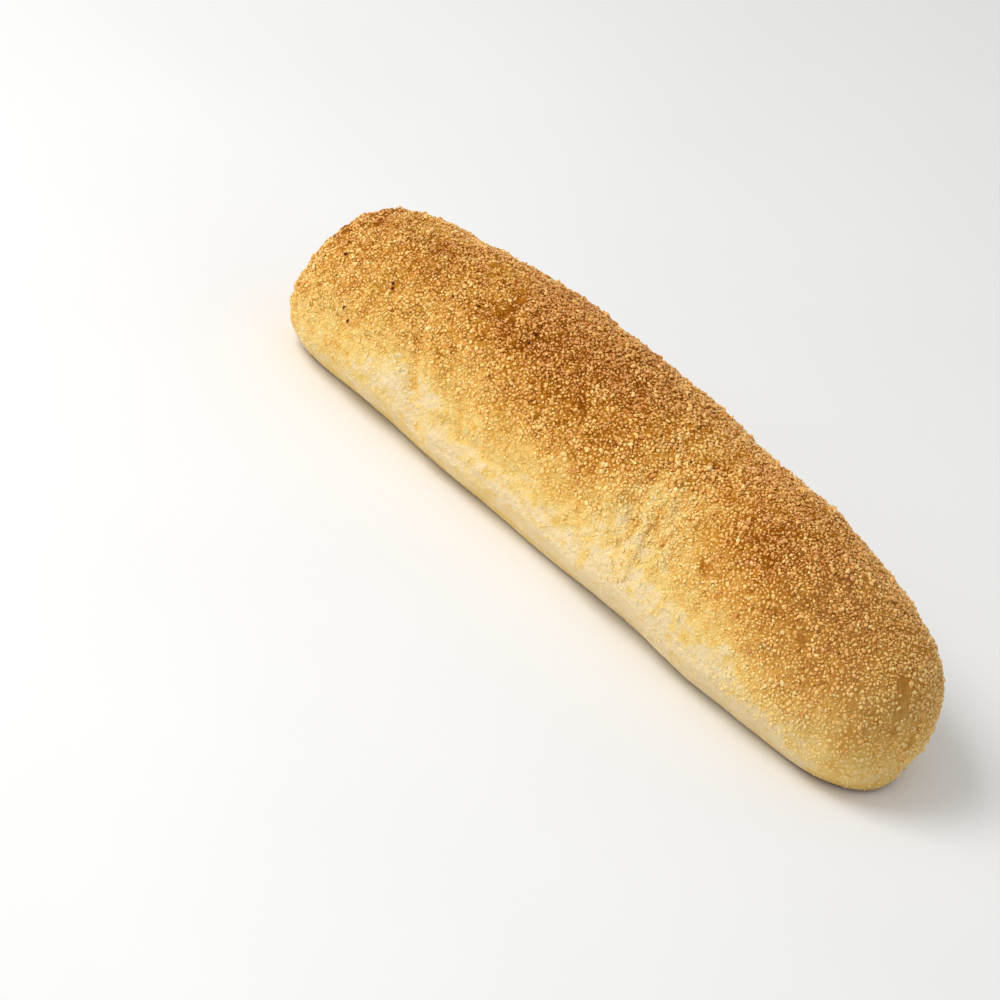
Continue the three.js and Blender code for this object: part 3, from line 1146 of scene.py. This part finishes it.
def grain_material(look):
    """Baked semolina: each grain its own shade, glassy and a little translucent."""
    material, tree, shader = new_material("semolina", GRAIN_FINISH)
    stops = ((0, look.pale), (0.3, look.straw), (0.6, look.golden), (1, look.toasted))
    cloud = scaled(tree, surface_noise(tree, size=0.6 * MM), low=-0.1, high=0.1)
    shade = colour_ramp(tree, total(tree, vertex_value(tree, "toast"), cloud), stops)
    shade = mixed(tree, vertex_value(tree, "dull"), shade, look.dull)
    tree.links.new(shade, shader.inputs["Base Color"])
    return material


def bran_material(look):
    """Dark bran with lighter streaks."""
    material, tree, shader = new_material("bran", BRAN_FINISH)
    stops = ((0.35, look.bran), (0.7, brightened(look.bran, BRAN_STREAKS)))
    shade = colour_ramp(tree, surface_noise(tree, size=0.3 * MM), stops)
    tree.links.new(shade, shader.inputs["Base Color"])
    return material


def floor_material(look):
    """Pale paper, barely clouded."""
    material, tree, shader = new_material("pale_floor", FLOOR_FINISH)
    stops = ((0.3, brightened(look.floor, FLOOR_CLOUDS)), (0.7, look.floor))
    shade = colour_ramp(tree, surface_noise(tree, size=90 * MM), stops)
    tree.links.new(shade, shader.inputs["Base Color"])
    return material


# Crust, with places in millimetres

# Shares of the crust's looks that its vertices keep
LEAST_FRECKLES = 0.35
FRECKLES = Ramp(0.05, 0.35, 0.65)
CRUMB_GAPS = Ramp(0.05, 0.5)
TAN_END = Ramp(82, 104)
TAN_RISE = Ramp(8, 26)
TAN_TOP = Ramp(0.8, 1.1)
TAN_SHARE = 0.6
LEANING_END = Ramp(56, 84, 0.3)
LEANING_RISE = Ramp(0.15, 0.45)
BASE_EDGE = 0.7
BASE_EDGE_AT_ENDS = Ramp(80, 106, 1.4)
BASE_EDGE_AT_NEAR_END = Ramp(90, 104, 0.9 * MM)
BASE_FADE = Ramp(0.1, 1)


def crust_net(look, shape):
    """Points of the crust, its triangles, and their corners' places in the flat map."""
    x, girth = stations(shape, RINGS + 1)
    inner_angle = np.tile(ring_angles(shape, POINTS_PER_RING), RINGS - 1)
    place = np.concatenate([x[:1], np.repeat(x[1:-1], POINTS_PER_RING), x[-1:]])
    share = np.concatenate([[0], np.repeat(girth[1:-1], POINTS_PER_RING), [0]])
    angle = np.concatenate([[0], inner_angle, [0]])
    points = centred(skin(shape, place, share, angle))
    corners, places = ring_net(RINGS, POINTS_PER_RING)
    points += normals_of(points, corners) * fine_relief(look, shape, points)[:, None]
    points[:, 2] = np.maximum(points[:, 2], 0)
    return centred(points), corners, places


def tan_at(points, height):
    """Share of the tan skin that the rounder end has."""
    x, z = x_and_z(points)
    end = climb(TAN_END, x) * climb(TAN_RISE, z)
    leaning = climb(LEANING_END, x) * climb(LEANING_RISE, height)
    return np.maximum(TAN_SHARE * end * (1 - climb(TAN_TOP, height)), leaning)


def underside_at(points):
    """1 on the underside, fading over its low edge."""
    x = points[:, 0] / MM
    edge = (BASE_EDGE + climb(BASE_EDGE_AT_ENDS, np.abs(x))) * MM
    edge += climb(BASE_EDGE_AT_NEAR_END, x)
    return 1 - climb(BASE_FADE, points[:, 2] / edge)


class LOAF_OT_crust(bpy.types.Operator):
    """Make the baked crust of the loaf"""

    bl_idname = "loaf.crust"
    bl_label = "Crust"

    def execute(self, context):
        shape, look = context.scene.loaf_shape, context.scene.loaf_crust
        points, corners, places = crust_net(look, shape)
        crust = joined_mesh("crust", points, corners)
        write_map(crust, places)
        height = bake_height(look, shape, points)
        toast = toast_at(look, shape, points)
        # The bake, which holds the painted shade in grooves, valleys and wrinkles and the painted shadow
        # line over the base
        write_values(crust, "toast", toast)
        write_values(crust, "freckled", LEAST_FRECKLES + climb(FRECKLES, toast))
        write_values(crust, "cover", cover_at(look, shape, points))
        # Where the gaps between crumbs get their painted shade and their dip in the bump
        write_values(crust, "crumbly", crumbly_at(look, shape, points) * climb(CRUMB_GAPS, height))
        write_values(crust, "tan", tan_at(points, height))
        write_values(crust, "under", underside_at(points))
        settle(crust, crust_material(look))
        return {"FINISHED"}


# Coat, with places in millimetres

# Kinds of grain, with the least bake and the bake up to which each goes
GRAIN_KINDS = (
    ("semolina_pale", 0.0, 0.18),
    ("semolina_straw", 0.18, 0.4),
    ("semolina_golden", 0.4, 0.64),
    ("semolina_toasted", 0.64, 9.0),
)

# Sizes of the grains, and the clumps on top of the coat
SIZE_SPREAD = (1.5, 2.6)
END_GROWTH = 0.86
MIDDLE_GROWTH = Wave(0, 0.14, 55)
NEAR_GROWTH = Ramp(50, 90, 0.07)
CLUMP_LAYERS = (Layer(1, 5, 131),)
CLUMPS = Ramp(0.28, 0.5)
CLUMP_POWER = 3
CLUMP_LARGEST = 0.8

# How far the grains stand out of the crust, in radii
NEAR_GRAINS = Ramp(75, 100)
NEAR_HALF = Ramp(-40, 40)
STAND_LAYERS = (Layer(0.25, 11, 151), Layer(0.4, 3, 157))
STAND_SPREAD = 0.2
LEAST_STAND = -0.48
TOASTED_STAND = Ramp(0.05, 0.5, 0.48)
HEAPED_STAND = 0.5
NEAR_STAND = 0.1
NEAR_STAND_LOSS = Ramp(0.3, 0.8)
FAR_SINK = 0.08
FOLD_STAND = 0.38
BELLY_STAND = 0.25

# How far the grains are baked
CRUST_SHARE = 0.9
FRESH_SHARE = 0.1
FRESH_PALENESS = 0.3
HEAPED_PALENESS = 0.12
SADDLE = Wave(42, 1, 18)
SADDLE_RISE = Ramp(0.35, 0.65)
SADDLE_BAKE = 0.07
VARIETY = 0.24
FAR_SAMENESS = 0.07
SADDLE_SAMENESS = 0.08
PALE_VARIETY = 0.5
TOASTED_VARIETY = Ramp(0.08, 0.4, 0.5)
NEAR_PALENESS = 0.12
FAR_BAKE = 0.1
FOLD_GRAIN_PALENESS = 0.11
HALF_BAKED = Wave(0.35, 0.06, 0.2)

# Bran specks, with radii in millimetres
SPECK_TOAST = 0.3  # crust that is baked less has none
SPECK_RADII = (0.25, 0.45)
SPECK_STAND = 0.3
SPECK_FLATTENING = (1, 0.7, 0.6)
SPECK_UNEVENNESS = 0.2


def laid_coat(look, surface, draw):
    """Coarse and fine grains that lie on the crust side by side."""
    coarse = random_places(surface, surface.cover, look.tries / MM**2, draw)
    fine = random_places(surface, surface.cover, look.fine_tries / MM**2, draw)
    corners, shares = (np.concatenate(parts) for parts in zip(coarse, fine))
    count = len(corners)
    spread = draw.beta(*SIZE_SPREAD, count)
    is_fine = np.arange(count) >= len(coarse[0])
    smallest = np.where(is_fine, look.fine_smallest, look.smallest)
    largest = np.where(is_fine, look.fine_largest, look.largest)
    points = on_surface(surface.points, corners, shares)
    x = points[:, 0] / MM
    growth = END_GROWTH + wave_at(MIDDLE_GROWTH, x) + climb(NEAR_GROWTH, x)
    radii = growth * (smallest + (largest - smallest) * spread)
    laid = Laid(corners, shares, points, radii, is_fine, np.zeros(count))
    return picked(laid, spaced_out(points, radii, look.overlap))


def laid_clumps(look, surface, draw):
    """Coarse grains that are heaped on top of the coat."""
    clumps = climb(CLUMPS, layered(CLUMP_LAYERS, surface.points)) * surface.cover**CLUMP_POWER
    corners, shares = random_places(surface, clumps, look.clump_tries / MM**2, draw)
    count = len(corners)
    radii = draw.uniform(look.smallest, look.largest * CLUMP_LARGEST, count)
    points = on_surface(surface.points, corners, shares)
    laid = Laid(corners, shares, points, radii, np.zeros(count, bool), np.ones(count))
    return picked(laid, spaced_out(points, radii, look.overlap))


def grain_stand(laid, toast, draw):
    """How far the middles of the grains stand out of the crust, in radii."""
    x = laid.points[:, 0] / MM
    near, far = climb(NEAR_GRAINS, x), 1 - climb(NEAR_HALF, x)
    uneven = layered(STAND_LAYERS, laid.points) + STAND_SPREAD * draw.normal(size=len(x))
    stand = LEAST_STAND + climb(TOASTED_STAND, toast) + HEAPED_STAND * laid.heaped + uneven
    near_stand = NEAR_STAND * near * (1 - climb(NEAR_STAND_LOSS, toast))
    stand += near_stand - FAR_SINK * far + FOLD_STAND * fold_zone(laid.points)
    return stand + BELLY_STAND * near_belly(laid.points)


def grain_bake(laid, toast, draw):
    """How far the grains are baked, from 0 to 1, each a little more or less than the crust under it."""
    x = laid.points[:, 0] / MM
    near, far = climb(NEAR_GRAINS, x), 1 - climb(NEAR_HALF, x)
    fresh = draw.random(len(x)) < FRESH_SHARE
    saddle = wave_at(SADDLE, x) * climb(SADDLE_RISE, toast)
    variety = VARIETY - FAR_SAMENESS * far - SADDLE_SAMENESS * saddle
    variety = variety * (PALE_VARIETY + climb(TOASTED_VARIETY, toast))
    bake = CRUST_SHARE * toast + variety * draw.normal(size=len(x))
    bake = bake - HEAPED_PALENESS * laid.heaped - FRESH_PALENESS * fresh + SADDLE_BAKE * saddle
    bake = bake - NEAR_PALENESS * near + FAR_BAKE * far - FOLD_GRAIN_PALENESS * fold_zone(laid.points)
    return np.clip(bake + wave_at(HALF_BAKED, toast), 0, 1)


def add_grains(name, form, grains, material, draw):
    """One piece of the coat."""
    settle(grains_mesh(name, form, grains, GRAIN_FLATTENING, GRAIN_UNEVENNESS, draw), material)


class LOAF_OT_coat(bpy.types.Operator):
    """Scatter the semolina over the crust"""

    bl_idname = "loaf.coat"
    bl_label = "Semolina coat"

    def execute(self, context):
        look = context.scene.loaf_coat
        draw = np.random.default_rng(look.seed)
        surface = read_surface(bpy.data.objects["crust"])
        coat = laid_coat(look, surface, draw)
        clumps = laid_clumps(look, surface, draw)
        laid = Laid(*(np.concatenate(parts) for parts in zip(coat, clumps)))
        outward = unit(on_surface(surface.normals, laid.corners, laid.shares))
        # The crust's bake under each grain, painted shade included, sets the grain's own bake
        toast = on_surface(surface.toast, laid.corners, laid.shares)
        stand = grain_stand(laid, toast, draw)
        bake = grain_bake(laid, toast, draw)
        centres = laid.points + outward * (stand * laid.radii)[:, None]
        grains = Grains(centres, laid.radii, outward, bake)
        material = grain_material(look)
        for name, low, high in GRAIN_KINDS:
            chosen = (bake >= low) & (bake < high) & ~laid.fine
            add_grains(name, icosahedron(), picked(grains, chosen), material, draw)
        add_grains("semolina_fine", octahedron(), picked(grains, laid.fine), material, draw)
        return {"FINISHED"}


def nearest(points, spot):
    """Which point lies nearest to a spot."""
    return np.argmin(np.linalg.norm(points / MM - np.array(spot[:3]), axis=1))


class LOAF_OT_specks(bpy.types.Operator):
    """Scatter the dark bran specks"""

    bl_idname = "loaf.specks"
    bl_label = "Bran specks"

    def execute(self, context):
        look = context.scene.loaf_coat
        draw = np.random.default_rng(look.seed + 1)
        surface = read_surface(bpy.data.objects["crust"])
        brownest = np.maximum(surface.toast - SPECK_TOAST, 0) ** 2
        corners, shares = random_places(surface, brownest, look.speck_count / MM**2, draw)
        placed = np.array([nearest(surface.points, spot) for spot in SPECKS])
        points = np.concatenate([surface.points[placed], on_surface(surface.points, corners, shares)])
        scattered_outward = unit(on_surface(surface.normals, corners, shares))
        outward = np.concatenate([surface.normals[placed], scattered_outward])
        scattered_radii = draw.uniform(*SPECK_RADII, len(corners))
        radii = np.concatenate([[spot.radius for spot in SPECKS], scattered_radii]) * MM
        centres = points + outward * (SPECK_STAND * radii)[:, None]
        grains = Grains(centres, radii, outward, np.ones(len(radii)))
        piece = grains_mesh("bran_specks", icosahedron(), grains, SPECK_FLATTENING, SPECK_UNEVENNESS, draw)
        settle(piece, bran_material(look))
        return {"FINISHED"}


# Studio

# Directions of the lamps, as shares of the camera's back, right and up
KEY_WAY = (0.5, -0.4, 0.75)
FILL_WAY = (0.73, -0.67, 0.06)
WHITE = (1, 1, 1, 1)


def camera_axes(look):
    """The camera's back, right and up."""
    flat = math.cos(look.elevation)
    back = Vector((math.sin(look.azimuth) * flat, -math.cos(look.azimuth) * flat, math.sin(look.elevation)))
    level_right = Vector((math.cos(look.azimuth), math.sin(look.azimuth), 0))
    level_up = back.cross(level_right)
    right = math.cos(look.roll) * level_right + math.sin(look.roll) * level_up
    return back, right, back.cross(right)


def add_floor(look):
    """A wide pale floor under the loaf."""
    half = look.floor_size / 2
    low = LOAF_LOW.z
    points = np.array([(-half, -half, low), (half, -half, low), (half, half, low), (-half, half, low)])
    floor = joined_mesh("floor", points, np.array([(0, 1, 2), (0, 2, 3)]))
    floor.data.materials.append(floor_material(look))


def add_sky(look, scene):
    """Even light from all round."""
    scene.world = bpy.data.worlds.new("studio_sky")
    scene.world.use_nodes = True
    background = scene.world.node_tree.nodes["Background"]
    background.inputs["Color"].default_value = WHITE
    background.inputs["Strength"].default_value = look.sky


def add_lamp(name, place, way, size, power):
    """A square soft lamp that faces the loaf."""
    data = bpy.data.lights.new(name, "AREA")
    data.shape = "SQUARE"
    data.size = size
    data.energy = power
    lamp = bpy.data.objects.new(name, data)
    lamp.location = place
    lamp.rotation_euler = way.to_track_quat("Z", "Y").to_euler()
    bpy.context.scene.collection.objects.link(lamp)


def add_camera(look, scene, middle, back, right, up):
    """A long lens from the picture's side."""
    data = bpy.data.cameras.new("camera")
    data.lens = look.lens
    camera = bpy.data.objects.new("camera", data)
    aim = middle + look.aim_right * right + look.aim_up * up
    turn = Matrix((right, up, back)).transposed().to_4x4()
    camera.matrix_world = Matrix.Translation(aim + look.distance * back) @ turn
    scene.collection.objects.link(camera)
    scene.camera = camera


class LOAF_OT_studio(bpy.types.Operator):
    """Make the floor, the light and the camera"""

    bl_idname = "loaf.studio"
    bl_label = "Studio"

    def execute(self, context):
        look = context.scene.loaf_studio
        context.scene.view_settings.view_transform = "Standard"
        back, right, up = camera_axes(look)
        add_floor(look)
        add_sky(look, context.scene)
        middle = Vector((0, 0, look.aim_height))
        lamps = (
            ("key", KEY_WAY, look.key_size, look.key_power),
            ("fill", FILL_WAY, look.fill_size, look.fill_power),
        )
        for name, (backward, rightward, upward), size, power in lamps:
            way = (backward * back + rightward * right + upward * up).normalized()
            add_lamp(name, middle + look.lamp_distance * way, way, size, power)
        add_camera(look, context.scene, middle, back, right, up)
        return {"FINISHED"}


class LOAF_PT_panel(bpy.types.Panel):
    """Sidebar panel with the loaf's sizes, colours and steps"""

    bl_idname = "LOAF_PT_panel"
    bl_label = "Semolina Loaf"
    bl_space_type = "VIEW_3D"
    bl_region_type = "UI"
    bl_category = "Loaf"

    def draw(self, context):
        for name in SETTINGS:
            box = self.layout.box()
            settings = getattr(context.scene, name)
            for key in settings.__annotations__:
                box.prop(settings, key)
        for operator in OPERATORS:
            self.layout.operator(operator.bl_idname)


SETTINGS = {
    "loaf_shape": LoafShape,
    "loaf_crust": CrustLook,
    "loaf_coat": CoatLook,
    "loaf_studio": StudioLook,
}
OPERATORS = (LOAF_OT_crust, LOAF_OT_coat, LOAF_OT_specks, LOAF_OT_studio)
CLASSES = (*SETTINGS.values(), *OPERATORS, LOAF_PT_panel)


def register():
    """Adds the classes and the scene's settings."""
    for each in CLASSES:
        bpy.utils.register_class(each)
    for name, group in SETTINGS.items():
        setattr(bpy.types.Scene, name, PointerProperty(type=group))


def unregister():
    """Takes the settings and the classes away again."""
    for name in SETTINGS:
        delattr(bpy.types.Scene, name)
    for each in reversed(CLASSES):
        bpy.utils.unregister_class(each)


def main():
    """Makes the loaf and its studio."""
    register()
    bpy.ops.loaf.crust()
    bpy.ops.loaf.coat()
    bpy.ops.loaf.specks()
    bpy.ops.loaf.studio()


if __name__ == "__main__":
    main()
